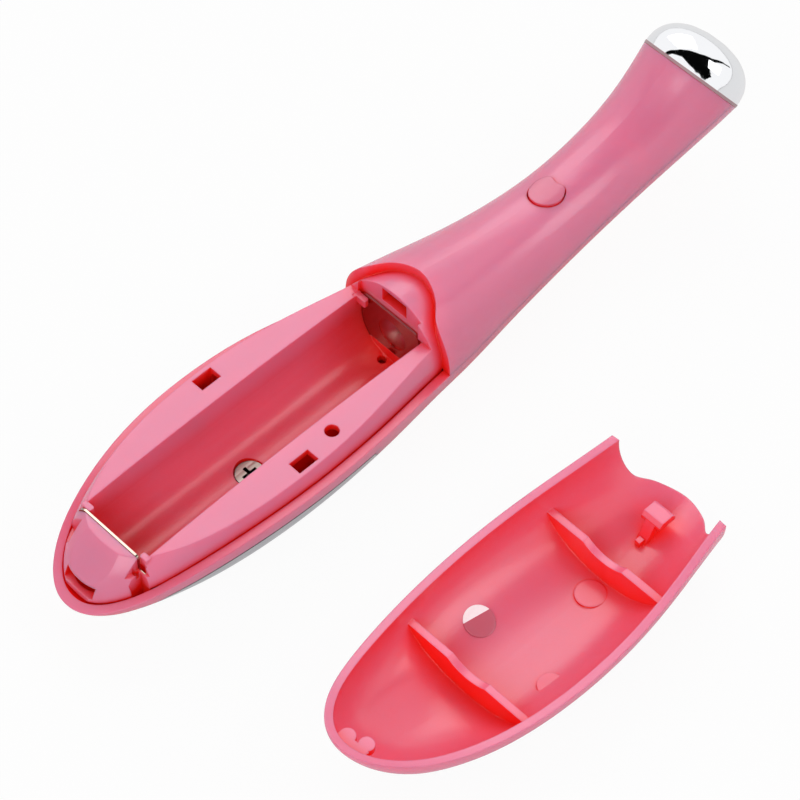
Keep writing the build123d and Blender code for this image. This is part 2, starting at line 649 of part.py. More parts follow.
# ================================================================ metal in the bay
def contact(x0, x1, shape, towards):
    """Battery contact: sheet with a round foot, a shoulder and a pressed bump that meets the cell."""
    top, drop, rounding = shape
    side = BAY_WIDTH / 2 + CONTACT_GROOVE
    plate = trough(side, x0, x1, top)
    plate -= block(x0 - 1, x1 + 1, -FAR, FAR, -FAR, CONTACT_FLOOR_Z)
    plate -= block(x0 - 1, x1 + 1, -FAR, CONTACT_SHOULDER - side, top - drop, FAR)
    upper = plate.edges().filter_by(Axis.X).group_by(Axis.Z)[-1].sort_by(Axis.Y)
    plate = fillet(upper[0], rounding)
    upper = plate.edges().filter_by(Axis.X).group_by(Axis.Z)[-1].sort_by(Axis.Y)
    plate = fillet(upper[-1], CONTACT_FAR_EASE)
    ball = (BUMP_RADIUS ** 2 + BUMP_HEIGHT ** 2) / (2 * BUMP_HEIGHT)
    face = x1 if towards > 0 else x0
    back = x0 if towards > 0 else x1
    reach = face + towards * FAR
    sphere = Rot(0, 0, 90) * Sphere(ball)
    front_ball = Pos(face + towards * (BUMP_HEIGHT - ball), 0, CELL_AXIS_Z) * sphere
    back_ball = Pos(back + towards * (BUMP_HEIGHT - ball), 0, CELL_AXIS_Z) * sphere
    plate += front_ball & block(min(face, reach), max(face, reach), -FAR, FAR, -FAR, FAR)
    reach = back + towards * FAR
    return plate - (back_ball & block(min(back, reach), max(back, reach), -FAR, FAR, -FAR, FAR))


def nose_contact():
    """The contact at the nose has a folded tail outside the bay, for its lead."""
    plate = contact(-CONTACT_THICKNESS, 0, NOSE_CONTACT_SHAPE, 1)
    z0 = TERMINAL_Z - TERMINAL_HEIGHT / 2
    z1 = TERMINAL_Z + TERMINAL_HEIGHT / 2
    plate += block(-CONTACT_THICKNESS, 0, TERMINAL_Y, -BAY_WIDTH / 2, z0, z1)
    return plate + block(-CONTACT_THICKNESS, TERMINAL_END_X, TERMINAL_Y, TERMINAL_Y + CONTACT_THICKNESS, z0, z1)


def tray_screw():
    head = Cylinder(SCREW_HEAD_DIAMETER / 2, SCREW_HEAD_HEIGHT, align=STANDING)
    shank = Cylinder(SCREW_SHANK_DIAMETER / 2, SCREW_LENGTH, align=HANGING)
    slit = Box(SCREW_CROSS_LENGTH, SCREW_CROSS_WIDTH, 2 * SCREW_CROSS_DEPTH)
    head -= Pos(0, 0, SCREW_HEAD_HEIGHT) * (slit + Rot(0, 0, 90) * slit)
    return Pos(SCREW_X, 0, SCREW_SEAT_Z) * (head + shank)


# ================================================================ button and board
def button_cap():
    cap = extrude(Pos(BUTTON_X, 0, FLANGE_Z) * heart(), FAR) & hull(-BUTTON_PROUD)
    flange = extrude(Pos(BUTTON_X, 0, FLANGE_Z) * heart(FLANGE_LIP), -FLANGE_THICKNESS)
    return cap + flange


def switch_plunger():
    top = FLANGE_Z - FLANGE_THICKNESS
    return Pos(BUTTON_X, 0, top) * Cylinder(PLUNGER_DIAMETER / 2, PLUNGER_SHOWN + PLUNGER_SUNK, align=HANGING)


def switch_body():
    body = Pos(BUTTON_X, 0, BOARD_TOP_Z + SWITCH_HEIGHT / 2) * Box(SWITCH_LENGTH, SWITCH_WIDTH, SWITCH_HEIGHT)
    depth = PLUNGER_SUNK + BUTTON_TRAVEL + RUNNING_GAP
    well = Cylinder(PLUNGER_DIAMETER / 2 + RUNNING_GAP, depth, align=HANGING)
    return body - Pos(BUTTON_X, 0, SWITCH_TOP_Z) * well


def circuit_board():
    return Pos(BUTTON_X, 0, BOARD_TOP_Z - BOARD_THICKNESS / 2) * Box(BOARD_LENGTH, BOARD_WIDTH, BOARD_THICKNESS)


def driver_chip():
    x = BUTTON_X - BOARD_LENGTH / 2 + CHIP_LENGTH
    return Pos(x, 0, BOARD_TOP_Z + CHIP_HEIGHT / 2) * Box(CHIP_LENGTH, CHIP_WIDTH, CHIP_HEIGHT)


# ================================================================ vibration motor
def motor_plane(distance):
    return along(MOTOR_X, MOTOR_Z, MOTOR_LEAN, distance)


def motor_can():
    can = disc(motor_plane(-MOTOR_LENGTH / 2 + MOTOR_CAP_LENGTH), MOTOR_DIAMETER / 2, MOTOR_LENGTH - MOTOR_CAP_LENGTH)
    bore = disc(motor_plane(0), SHAFT_DIAMETER / 2 + RUNNING_GAP / 2, MOTOR_LENGTH)
    return can - bore


def motor_end_cap():
    return disc(motor_plane(-MOTOR_LENGTH / 2), MOTOR_DIAMETER / 2 - MOTOR_CAP_STEP, MOTOR_CAP_LENGTH)


def motor_shaft():
    length = MOTOR_LENGTH / 2 + SHAFT_SHOWN - SHAFT_END_PLAY
    return disc(motor_plane(SHAFT_END_PLAY), SHAFT_DIAMETER / 2, length)


def eccentric_weight():
    plane = motor_plane(MOTOR_LENGTH / 2 + WEIGHT_OFFSET)
    whole = disc(plane, WEIGHT_RADIUS, WEIGHT_LENGTH)
    beyond = Pos(0, WEIGHT_CUT + WEIGHT_RADIUS) * Rectangle(4 * WEIGHT_RADIUS, 2 * WEIGHT_RADIUS)
    half_disc = whole - extrude(plane * beyond, WEIGHT_LENGTH)
    hub = disc(plane, SHAFT_DIAMETER / 2 + WEIGHT_HUB_WALL, WEIGHT_LENGTH)
    return (half_disc + hub) - disc(plane, SHAFT_DIAMETER / 2, WEIGHT_LENGTH)


def motor_sleeve():
    plane = motor_plane(-SLEEVE_LENGTH / 2)
    outer = disc(plane, MOTOR_DIAMETER / 2 + SLEEVE_WALL, SLEEVE_LENGTH)
    return outer - disc(plane, MOTOR_DIAMETER / 2, SLEEVE_LENGTH)


# ================================================================ head
def head_plane(height=0.0):
    return along(HEAD_X, HEAD_Z, HEAD_LEAN, height)


def head_form(inset=0.0):
    """Blunt dome of the massage head."""
    radius = HEAD_R - inset
    height = HEAD_HEIGHT - RING_HEIGHT - inset
    points = []
    steps = 8
    for step in range(steps + 1):
        turn = radians(90.0 * step / steps)
        power = 2.0 / HEAD_BLUNTNESS
        points.append((radius * cos(turn) ** power if step < steps else 0.0, height * sin(turn) ** power))
    dome = Spline(*points, tangents=((0, 1), (-1, 0)))
    foot = Polyline(points[-1], (0, 0), points[0])
    profile = Plane.XZ * make_face(dome + foot)
    solid = revolve(profile, Axis.Z)
    place = head_plane(RING_HEIGHT)
    return place.location * solid


def head_cap():
    return head_form() - head_form(HEAD_WALL)


def head_ring():
    ring = disc(head_plane(), HEAD_R + RING_PROUD, RING_HEIGHT)
    return ring - disc(head_plane(), HEAD_R - WALL, RING_HEIGHT)


def head_seat():
    """Carrier that plugs into the neck and lifts the heater up under the metal dome."""
    plug = hull(WALL + SEAT_PLAY) & disc(head_plane(-SEAT_PLUG), 2 * HEAD_R, SEAT_PLUG + RING_HEIGHT)
    waist = disc(head_plane(-SEAT_SLIM), HEAD_R - WALL - SEAT_SLIM, SEAT_SLIM + RING_HEIGHT)
    step = disc(head_plane(RING_HEIGHT), HEAD_R - HEAD_WALL - SEAT_SHOULDER, SEAT_STEP)
    pedestal = disc(head_plane(0), HEATER_RADIUS + PEDESTAL_RIM, HEATER_TOP - HEATER_THICKNESS)
    seat = plug + waist + step + pedestal
    for side in (-1, 1):
        lead_way = head_plane(-SEAT_PLUG) * Pos(side * HEATER_HOLE_Y, 0) * Circle(LEAD_DIAMETER / 2 + LEAD_PLAY)
        seat -= extrude(lead_way, SEAT_PLUG + HEATER_TOP)
    return seat


def heater_disc():
    return disc(head_plane(HEATER_TOP - HEATER_THICKNESS), HEATER_RADIUS, HEATER_THICKNESS)


def heat_pad():
    pad = disc(head_plane(HEATER_TOP), HEATER_RADIUS - PAD_STEP, HEAD_HEIGHT)
    return pad & head_form(HEAD_WALL)


# ================================================================ leads
LEAD_Z = BOARD_TOP_Z + LEAD_DIAMETER / 2 + LEAD_RISE


def lead(points):
    """A round lead: straight runs joined by arcs as large as the runs allow."""
    radii = []
    for before, corner, after in zip(points, points[1:], points[2:]):
        arriving = Vector(corner) - Vector(before)
        leaving = Vector(after) - Vector(corner)
        half_turn = radians(arriving.get_angle(leaving)) / 2
        radii.append(BEND_SHARE * min(arriving.length, leaving.length) / tan(half_turn))
    print("lead radii", [round(radius, 1) for radius in radii])
    path = FilletPolyline(*points, radius=radii)
    start = Plane(origin=path @ 0, z_dir=path % 0)
    return sweep(start * Circle(LEAD_DIAMETER / 2), path=path)


def on_axis(plane, y):
    """A point beside a leaning axis, at a distance y across the wand."""
    return (plane.origin.X, y, plane.origin.Z)


def nose_lead():
    y = TERMINAL_Y + CONTACT_THICKNESS - LEAD_DIAMETER / 2
    start = (TERMINAL_END_X + CONTACT_PLAY, y, TERMINAL_Z)
    landing = (BATTERY_PADS_X - 3.6, -BATTERY_PADS_Y, LEAD_Z)
    return lead([start, *NOSE_LEAD_BENDS, landing, (BATTERY_PADS_X, -BATTERY_PADS_Y, LEAD_Z)])


def neck_lead():
    start = (BAY_LENGTH + CONTACT_THICKNESS, NECK_LEAD_Y, NECK_LEAD_Z)
    landing = (BATTERY_PADS_X - 3.4, BATTERY_PADS_Y, LEAD_Z)
    return lead([start, *NECK_LEAD_BENDS, landing, (BATTERY_PADS_X, BATTERY_PADS_Y, LEAD_Z)])


def motor_lead(side):
    """From the board to the motor's end cap, which it meets square on."""
    y = side * MOTOR_PADS_Y
    bend_x = LOAD_PADS_X + 1.3
    cap = motor_plane(-MOTOR_LENGTH / 2)
    along_axis = Vector(bend_x - cap.origin.X, 0, LEAD_Z - cap.origin.Z).dot(cap.z_dir)
    end = (bend_x - along_axis * cap.z_dir.X, y, LEAD_Z - along_axis * cap.z_dir.Z)
    return lead([(LOAD_PADS_X, y, LEAD_Z), (bend_x, y, LEAD_Z), end])


def heater_lead(side):
    """From the board past the motor and through the carrier to the heater."""
    y = side * HEATER_PADS_Y
    return lead([
        (LOAD_PADS_X, y, LEAD_Z),
        (LOAD_PADS_X + 2.3, y, LEAD_Z),
        on_axis(motor_plane(-SLEEVE_LENGTH / 2), side * HEATER_LEAD_Y),
        on_axis(motor_plane(SLEEVE_LENGTH / 2 + 2.5), side * HEATER_LEAD_Y),
        on_axis(head_plane(-SEAT_PLUG - 2.2), side * HEATER_HOLE_Y),
        on_axis(head_plane(HEATER_TOP - HEATER_THICKNESS), side * HEATER_HOLE_Y),
    ])


def solder_joints():
    """Six beads on the board, one at the end of each lead."""
    beads = []
    for side in (-1, 1):
        beads.append((BATTERY_PADS_X, side * BATTERY_PADS_Y, 1))
        beads.append((LOAD_PADS_X, side * MOTOR_PADS_Y, -1))
        beads.append((LOAD_PADS_X, side * HEATER_PADS_Y, -1))
    joints = []
    for x, y, towards in beads:
        ball = Pos(x, y, BOARD_TOP_Z) * Sphere(SOLDER_RADIUS)
        end = x + towards * FAR
        joints.append(ball & block(min(x, end), max(x, end), -FAR, FAR, BOARD_TOP_Z, FAR))
    return Compound(joints)


# ================================================================ build and place
def aside(shape):
    """The cover's place on the ground: turned over beside the wand."""
    turned = Pos(COVER_ASIDE_X, COVER_ASIDE_Y, 0) * Rot(180, 0, 0) * shape
    return turned


def main():
    outer = hull()
    inner = hull(WALL)
    tray_form = hull(TRAY_INSET)
    core = hull(CORE_INSET)
    lower = below_seam()
    parts = {}
    parts["front_housing"] = front_housing(outer, inner, lower)
    parts["back_housing"] = back_housing(outer, inner, lower, tray_form, core)
    cover = aside(battery_cover(outer, lower))
    parts["front_plate"] = front_plate(outer)
    parts["contact_nose"] = nose_contact()
    parts["contact_neck"] = contact(BAY_LENGTH, BAY_LENGTH + CONTACT_THICKNESS, NECK_CONTACT_SHAPE, -1)
    parts["tray_screw"] = tray_screw()
    parts["button_cap"] = button_cap()
    parts["switch_plunger"] = switch_plunger()
    parts["switch_body"] = switch_body()
    parts["circuit_board"] = circuit_board()
    parts["driver_chip"] = driver_chip()
    parts["motor_can"] = motor_can()
    parts["motor_end_cap"] = motor_end_cap()
    parts["motor_shaft"] = motor_shaft()
    parts["eccentric_weight"] = eccentric_weight()
    parts["motor_sleeve"] = motor_sleeve()
    parts["head_ring"] = head_ring()
    parts["head_cap"] = head_cap()
    parts["head_seat"] = head_seat()
    parts["heater_disc"] = heater_disc()
    parts["heat_pad"] = heat_pad()
    parts["lead_battery_nose"] = nose_lead()
    parts["lead_battery_neck"] = neck_lead()
    parts["lead_motor_a"] = motor_lead(-1)
    parts["lead_motor_b"] = motor_lead(1)
    parts["lead_heater_a"] = heater_lead(-1)
    parts["lead_heater_b"] = heater_lead(1)
    parts["solder_joints"] = solder_joints()

    ground = outer.bounding_box().min.Z
    rise = ground - cover.bounding_box().min.Z
    cover = Pos(0, 0, rise) * cover
    parts["battery_cover"] = cover

    boxes = [shape.bounding_box() for shape in parts.values()]
    x0 = min(box.min.X for box in boxes)
    x1 = max(box.max.X for box in boxes)
    y0 = min(box.min.Y for box in boxes)
    y1 = max(box.max.Y for box in boxes)
    shift = Pos(-(x0 + x1) / 2, -(y0 + y1) / 2, -ground)
    os.makedirs("parts", exist_ok=True)
    for name, shape in parts.items():
        export_step(shift * shape, "parts/" + name + ".step")
    print("model moved by", shift.position, "and cover laid at", rise)


if __name__ == "__main__":
    main()
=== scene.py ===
import bpy
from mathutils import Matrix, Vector


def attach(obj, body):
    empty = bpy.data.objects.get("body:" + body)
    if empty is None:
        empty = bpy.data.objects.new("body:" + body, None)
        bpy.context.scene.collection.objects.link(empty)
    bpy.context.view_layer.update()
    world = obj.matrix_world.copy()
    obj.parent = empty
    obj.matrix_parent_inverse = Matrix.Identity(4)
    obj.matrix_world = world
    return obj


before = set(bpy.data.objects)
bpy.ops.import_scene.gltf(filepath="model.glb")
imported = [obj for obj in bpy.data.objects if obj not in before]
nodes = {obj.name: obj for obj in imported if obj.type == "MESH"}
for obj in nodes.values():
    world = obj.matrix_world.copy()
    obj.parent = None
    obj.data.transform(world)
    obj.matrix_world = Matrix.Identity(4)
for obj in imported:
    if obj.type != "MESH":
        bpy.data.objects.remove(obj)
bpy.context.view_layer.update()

# ---------------------------------------------------------------- camera
# A short tele lens looks down on the wand from beyond its nose end, as on a
# catalogue table. It has no shift and no depth of field.
CAMERA_PLACE = (-0.17734, -0.158655, 0.33634)
CAMERA_LOOKS = Vector((0.4139, 0.4218, -0.8067))
FILM_MM = 36.0
LENS_MM = 146.97
NEAREST_SEEN = 0.01

bpy.ops.object.select_all(action="DESELECT")
bpy.ops.object.camera_add(location=CAMERA_PLACE)
camera = bpy.context.object
camera.name = "catalogue_camera"
camera.rotation_euler = CAMERA_LOOKS.to_track_quat("-Z", "Y").to_euler()
camera.data.sensor_width = FILM_MM
camera.data.lens = LENS_MM
camera.data.clip_start = NEAREST_SEEN
bpy.context.scene.camera = camera
bpy.context.scene.view_settings.view_transform = "Standard"

# ---------------------------------------------------------------- table top
# A sheet of matt white table board under the wand. It is shown white to the
# camera and to reflections, and still takes the object's soft shadow.
TABLE_WIDTH = 6.0
TABLE_DROP = 0.00002  # the board's face lies just below the wand's lowest point
BOARD_WHITE = "dcdcdc"
SHOWN_WHITE = 0.94  # how much of the board the camera sees as plain white
MIRRORED_WHITE = 0.15  # the same for reflections
PURE_WHITE = "ffffff"


def linear(colour):
    """Turns a written colour such as "d96b7e" into the linear values that shaders take."""
    values = [int(colour[i:i + 2], 16) / 255 for i in (0, 2, 4)]
    return [v / 12.92 if v <= 0.04045 else ((v + 0.055) / 1.055) ** 2.4 for v in values] + [1.0]


def add_node(tree, kind, settings=None, inputs=None):
    """Adds one node, sets its options, and fills or links its inputs."""
    made = tree.nodes.new(kind)
    for name, value in (settings or {}).items():
        setattr(made, name, value)
    for name, value in (inputs or {}).items():
        if isinstance(value, bpy.types.NodeSocket):
            tree.links.new(value, made.inputs[name])
        else:
            made.inputs[name].default_value = value
    return made


def new_material(name):
    """An empty node material with its output node."""
    material = bpy.data.materials.new(name)
    material.use_nodes = True
    material.node_tree.nodes.clear()
    out = add_node(material.node_tree, "ShaderNodeOutputMaterial")
    return material, material.node_tree, out


table_paint, tree, out = new_material("matt_white_table_board")
ray = add_node(tree, "ShaderNodeLightPath")
mirrored = add_node(tree, "ShaderNodeMath", {"operation": "MULTIPLY"}, {
    0: ray.outputs["Is Glossy Ray"], 1: MIRRORED_WHITE})
lift = add_node(tree, "ShaderNodeMath", {"operation": "MULTIPLY_ADD"}, {
    0: ray.outputs["Is Camera Ray"], 1: SHOWN_WHITE, 2: mirrored.outputs[0]})
board = add_node(tree, "ShaderNodeBsdfDiffuse", inputs={"Color": linear(BOARD_WHITE)})
glow = add_node(tree, "ShaderNodeEmission", inputs={"Color": linear(PURE_WHITE), "Strength": 1.0})
both = add_node(tree, "ShaderNodeMixShader", inputs={
    0: lift.outputs[0], 1: board.outputs[0], 2: glow.outputs[0]})
tree.links.new(both.outputs[0], out.inputs["Surface"])

bpy.ops.mesh.primitive_plane_add(size=TABLE_WIDTH, location=(0.0, 0.0, -TABLE_DROP))
table = bpy.context.object
table.name = "table_top"
table.data.materials.append(table_paint)

# ---------------------------------------------------------------- studio light
# A white tent all round with three soft boxes: far side, near side and nose end.
# Three black cards are seen only in reflections, as a photographer sets them so
# that chromed parts show some black.
TENT_LIGHT = 0.53  # what the tent gives the object
TENT_WHITE = 1.0  # how bright it is where it is seen, mirrored or looked through to
HIGH_CARD = 0.80
LOW_CARD = 0.22

world = bpy.data.worlds.new("white_tent")
bpy.context.scene.world = world
world.use_nodes = True
tree = world.node_tree
tree.nodes.clear()
out = add_node(tree, "ShaderNodeOutputWorld")
ray = add_node(tree, "ShaderNodeLightPath")
seen = add_node(tree, "ShaderNodeMath", {"operation": "MAXIMUM"}, {
    0: ray.outputs["Is Camera Ray"], 1: ray.outputs["Is Glossy Ray"]})
seen = add_node(tree, "ShaderNodeMath", {"operation": "MAXIMUM"}, {
    0: seen.outputs[0], 1: ray.outputs["Is Transmission Ray"]})
soft = add_node(tree, "ShaderNodeBackground", inputs={"Color": linear(PURE_WHITE), "Strength": TENT_LIGHT})
white = add_node(tree, "ShaderNodeBackground", inputs={"Color": linear(PURE_WHITE), "Strength": TENT_WHITE})
both = add_node(tree, "ShaderNodeMixShader", inputs={
    0: seen.outputs[0], 1: soft.outputs[0], 2: white.outputs[0]})
tree.links.new(both.outputs[0], out.inputs["Surface"])


def soft_box(name, place, aim, width, power):
    """A square soft box at a place, turned to a point."""
    bpy.ops.object.light_add(type="AREA", location=place)
    lamp = bpy.context.object
    lamp.name = name
    lamp.rotation_euler = (Vector(aim) - Vector(place)).to_track_quat("-Z", "Y").to_euler()
    lamp.data.size = width
    lamp.data.energy = power


soft_box("far_soft_box", place=(0.34, 0.42, 0.56), aim=(0.02, 0.0, 0.0), width=0.60, power=2.3)
soft_box("near_soft_box", place=(0.37, -0.46, 0.50), aim=(0.0, 0.0, 0.0), width=0.36, power=1.1)
soft_box("nose_soft_box", place=(-0.50, -0.16, 0.42), aim=(0.0, 0.0, 0.0), width=0.40, power=1.5)

card_black, tree, out = new_material("black_card")
paper = add_node(tree, "ShaderNodeBsdfDiffuse", inputs={"Color": linear("0a0a0a")})
tree.links.new(paper.outputs[0], out.inputs["Surface"])


def dark_card(name, outline, height):
    """A level black card seen only in reflections: it takes no light away and isn't seen itself."""
    bpy.ops.mesh.primitive_circle_add(vertices=len(outline), radius=1.0, fill_type="NGON")
    card = bpy.context.object
    card.name = name
    for corner, (x, y) in zip(card.data.vertices, outline):
        corner.co = (x, y, height)
    card.data.materials.append(card_black)
    for way in ("camera", "diffuse", "shadow", "transmission", "volume_scatter"):
        setattr(card, "visible_" + way, False)


dark_card("gap_card", (
    (-0.62, 1.28), (-0.16, 0.50), (0.10, 0.21), (0.36, -0.06), (0.80, -0.32), (0.76, -0.52),
    (0.46, -0.54), (0.18, -0.76), (-0.02, -1.36), (-0.42, -1.30), (-0.38, -0.40), (-0.34, -0.10),
    (-0.26, 0.16)), HIGH_CARD)
dark_card("gap_strip", ((0.80, -0.34), (2.6, -0.84), (2.6, -1.02), (0.76, -0.52)), HIGH_CARD)
dark_card("low_gap_strip", ((0.60, -0.19), (2.6, -0.84), (2.6, -1.00), (0.60, -0.23)), LOW_CARD)

# ---------------------------------------------------------------- housing shells
# Belly shell, battery side and loose cover: glossy ABS mouldings in one pink. They
# snap together, and the screw in the trough holds the middle. The mould's steel was
# polished outside and left plain inside.
FACTOR, FIRST, SECOND, MIXED = 0, 6, 7, 2  # the inputs and the output of a Mix node for colour
FINER_LAYERS = 0.55  # how much each finer layer of a noise adds

# patterns are in repeats per metre, and lengths in metres
FLOW_CLOUDS = 70.0  # about 14 mm across
WAVES = 220.0  # about 4.5 mm across
HANDLING_MARKS = 1600.0  # about 0.6 mm, coarser than real ones, so that they show
MARK_SHARE = 0.08  # how deep the marks are beside the waves
WAVE_DEPTH = 0.00003
GLOSS_SPREAD = 0.03
EASED_EDGE = 0.00028
CLOSED_AT = 0.32  # the share of open space at which the painted shade is deepest
OPENNESS_SAMPLES = 12

ABS_PINK = "e47a9a"
ABS_CLOUD = "e07494"
# the deep red painted into closed-in places as shade
ABS_PAINTED_RECESS_RED = "fc2218"
ABS_IOR = 1.53
ABS_LET_IN = 0.5  # the share of light that goes in before it comes back out
ABS_LIGHT_DEPTH = (0.0045, 0.0004, 0.0004)  # for red, green and blue


def moulded_abs(name, colour, cloud, roughness, reach, open_at, alone=False):
    """Glossy injection-moulded ABS with faint flow clouds, a soft waviness and fine handling marks.

    Light goes a few millimetres into it. Where it closes in on itself, its colour turns to a deep red as
    painted shade, standing in for shade and red light bounced about in recesses: where less than open_at of
    the space within reach is open. Alone means that only the piece itself closes its surface in, and not
    its neighbours or the table."""
    material, tree, out = new_material(name)
    where = add_node(tree, "ShaderNodeTexCoord").outputs["Object"]
    flow = add_node(tree, "ShaderNodeTexNoise", inputs={
        "Vector": where, "Scale": FLOW_CLOUDS, "Detail": 2.0, "Roughness": FINER_LAYERS})
    tint = add_node(tree, "ShaderNodeMix", {"data_type": "RGBA"}, {
        FACTOR: flow.outputs["Fac"], FIRST: linear(colour), SECOND: linear(cloud)})
    openness = add_node(tree, "ShaderNodeAmbientOcclusion", {
        "samples": OPENNESS_SAMPLES, "only_local": alone}, {"Distance": reach})
    painted_shade_share = add_node(tree, "ShaderNodeMapRange", inputs={
        "Value": openness.outputs["AO"], "From Min": CLOSED_AT, "From Max": open_at,
        "To Min": 1.0, "To Max": 0.0})
    # painted shade: the colour turns to the deep red where the surface is closed in, for shade and bounced
    # red light in recesses
    colour_with_painted_shade = add_node(tree, "ShaderNodeMix", {"data_type": "RGBA"}, {
        FACTOR: painted_shade_share.outputs[0], FIRST: tint.outputs[MIXED], SECOND: linear(ABS_PAINTED_RECESS_RED)})
    marks = add_node(tree, "ShaderNodeTexNoise", inputs={
        "Vector": where, "Scale": HANDLING_MARKS, "Detail": 3.0, "Roughness": FINER_LAYERS})
    rough = add_node(tree, "ShaderNodeMapRange", inputs={
        "Value": marks.outputs["Fac"],
        "To Min": roughness - GLOSS_SPREAD, "To Max": roughness + GLOSS_SPREAD})
    wave = add_node(tree, "ShaderNodeTexNoise", inputs={
        "Vector": where, "Scale": WAVES, "Detail": 1.0, "Roughness": FINER_LAYERS})
    relief = add_node(tree, "ShaderNodeMath", {"operation": "MULTIPLY_ADD"}, {
        0: marks.outputs["Fac"], 1: MARK_SHARE, 2: wave.outputs["Fac"]})
    eased = add_node(tree, "ShaderNodeBevel", {"samples": 6}, {"Radius": EASED_EDGE})
    skin = add_node(tree, "ShaderNodeBump", inputs={
        "Height": relief.outputs[0], "Distance": WAVE_DEPTH, "Normal": eased.outputs[0]})
    plastic = add_node(tree, "ShaderNodeBsdfPrincipled", inputs={
        "Base Color": colour_with_painted_shade.outputs[MIXED], "Roughness": rough.outputs[0], "Normal": skin.outputs[0],
        "IOR": ABS_IOR, "Subsurface Weight": ABS_LET_IN, "Subsurface Radius": ABS_LIGHT_DEPTH,
        "Subsurface Scale": 1.0})
    tree.links.new(plastic.outputs[0], out.inputs["Surface"])
    return material


def dress(names, material):
    """Gives carried-over parts their finish through their material slots."""
    for name in names:
        for slot in nodes[name].material_slots:
            slot.material = material


dress(("front_housing", "back_housing"), moulded_abs(
    "moulded_pink_abs", ABS_PINK, ABS_CLOUD, roughness=0.24, reach=0.011, open_at=0.95))
dress(("battery_cover",), moulded_abs(
    "thin_walled_pink_abs", ABS_PINK, ABS_CLOUD, roughness=0.24, reach=0.030, open_at=1.0, alone=True))

# ---------------------------------------------------------------- ejector mark in the cover
# Where a flat pin pushed the cover out of the mould, it left a round pad on the curved floor. The far part
# of the pad is drawn near-white: a painted highlight, the glint of a soft box on the flat pad.
MARK_PLACE = Vector((-0.0223, -0.0143, 0.00215))
MARK_FACING = Vector((0.03, -0.35, 0.936)).normalized()
MARK_RADIUS = 0.0021
MARK_PROUD = 0.00022
MARK_EDGE = 0.00006
HIGHLIGHT_TOWARDS = Vector((0.155, 0.944, 0.348)).normalized()
HIGHLIGHT_BEYOND = 0.33  # of the radius, from the middle
HIGHLIGHT_GRAIN = 2500.0  # about 0.4 mm across
HIGHLIGHT_GRAIN_DEPTH = 0.00001

strained_abs = moulded_abs(
    "strained_pink_abs", "dd6478", "d85e70", roughness=0.22, reach=0.004, open_at=0.95, alone=True)
# a painted highlight: the far part of the pad is drawn near-white, for the glint of a soft box on it
painted_highlight_abs, tree, out = new_material("painted_highlight_on_abs")
where = add_node(tree, "ShaderNodeTexCoord").outputs["Object"]
highlight_grain = add_node(tree, "ShaderNodeTexNoise", inputs={
    "Vector": where, "Scale": HIGHLIGHT_GRAIN, "Detail": 2.0, "Roughness": FINER_LAYERS})
tint = add_node(tree, "ShaderNodeMix", {"data_type": "RGBA"}, {
    FACTOR: highlight_grain.outputs["Fac"], FIRST: linear("fffafc"), SECOND: linear("fbeaf0")})
skin = add_node(tree, "ShaderNodeBump", inputs={"Height": highlight_grain.outputs["Fac"], "Distance": HIGHLIGHT_GRAIN_DEPTH})
plastic = add_node(tree, "ShaderNodeBsdfPrincipled", inputs={
    "Base Color": tint.outputs[MIXED], "Normal": skin.outputs[0], "Roughness": 0.24, "IOR": ABS_IOR})
tree.links.new(plastic.outputs[0], out.inputs["Surface"])

bpy.ops.object.select_all(action="DESELECT")
bpy.ops.mesh.primitive_cylinder_add(
    vertices=64, radius=MARK_RADIUS, depth=2 * MARK_PROUD, end_fill_type="NGON", location=MARK_PLACE,
    rotation=MARK_FACING.to_track_quat("Z", "Y").to_euler())
mark = bpy.context.object
mark.name = "ejector_mark"
bpy.ops.object.transform_apply(location=True, rotation=True, scale=True)
mark.data.materials.append(strained_abs)
mark.data.materials.append(painted_highlight_abs)
eased = mark.modifiers.new("eased", "BEVEL")
eased.width = MARK_EDGE
eased.segments = 2
eased.limit_method = "ANGLE"
bpy.ops.object.modifier_apply(modifier=eased.name)

highlight_from = MARK_PLACE + HIGHLIGHT_TOWARDS * HIGHLIGHT_BEYOND * MARK_RADIUS
bpy.ops.object.mode_set(mode="EDIT")
bpy.ops.mesh.select_all(action="SELECT")
bpy.ops.mesh.bisect(plane_co=highlight_from, plane_no=HIGHLIGHT_TOWARDS)
bpy.ops.object.mode_set(mode="OBJECT")
# faces beyond the cut take the painted highlight
for face in mark.data.polygons:
    face.material_index = int((face.center - highlight_from).dot(HIGHLIGHT_TOWARDS) > 0)
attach(mark, "cover")

# ---------------------------------------------------------------- push button
# The heart-shaped cap is moulded in the same ABS and polished a little more, so
# the finger finds it. Under it sit the white plunger and the black switch.
PLASTIC_IOR = 1.5
PLASTIC_GRAIN_DEPTH = 0.00002

dress(("button_cap",), moulded_abs(
    "polished_pink_abs", "d86c8a", "d26684", roughness=0.20, reach=0.004, open_at=0.95))


def plain_plastic(name, colour, other, roughness, grain_mm):
    """A moulded, cast or sintered material with a fine even grain of a stated size."""
    material, tree, out = new_material(name)
    where = add_node(tree, "ShaderNodeTexCoord").outputs["Object"]
    grain = add_node(tree, "ShaderNodeTexNoise", inputs={
        "Vector": where, "Scale": 1000.0 / grain_mm, "Detail": 2.0, "Roughness": FINER_LAYERS})
    tint = add_node(tree, "ShaderNodeMix", {"data_type": "RGBA"}, {
        FACTOR: grain.outputs["Fac"], FIRST: linear(colour), SECOND: linear(other)})
    skin = add_node(tree, "ShaderNodeBump", inputs={
        "Height": grain.outputs["Fac"], "Distance": PLASTIC_GRAIN_DEPTH})
    plastic = add_node(tree, "ShaderNodeBsdfPrincipled", inputs={
        "Base Color": tint.outputs[MIXED], "Normal": skin.outputs[0], "Roughness": roughness,
        "IOR": PLASTIC_IOR})
    tree.links.new(plastic.outputs[0], out.inputs["Surface"])
    return material


dress(("switch_plunger",), plain_plastic(
    "natural_acetal", "e6e2d8", "dcd8cc", roughness=0.40, grain_mm=0.3))
dress(("switch_body",), plain_plastic(
    "black_glass_filled_nylon", "17181a", "202124", roughness=0.45, grain_mm=0.2))

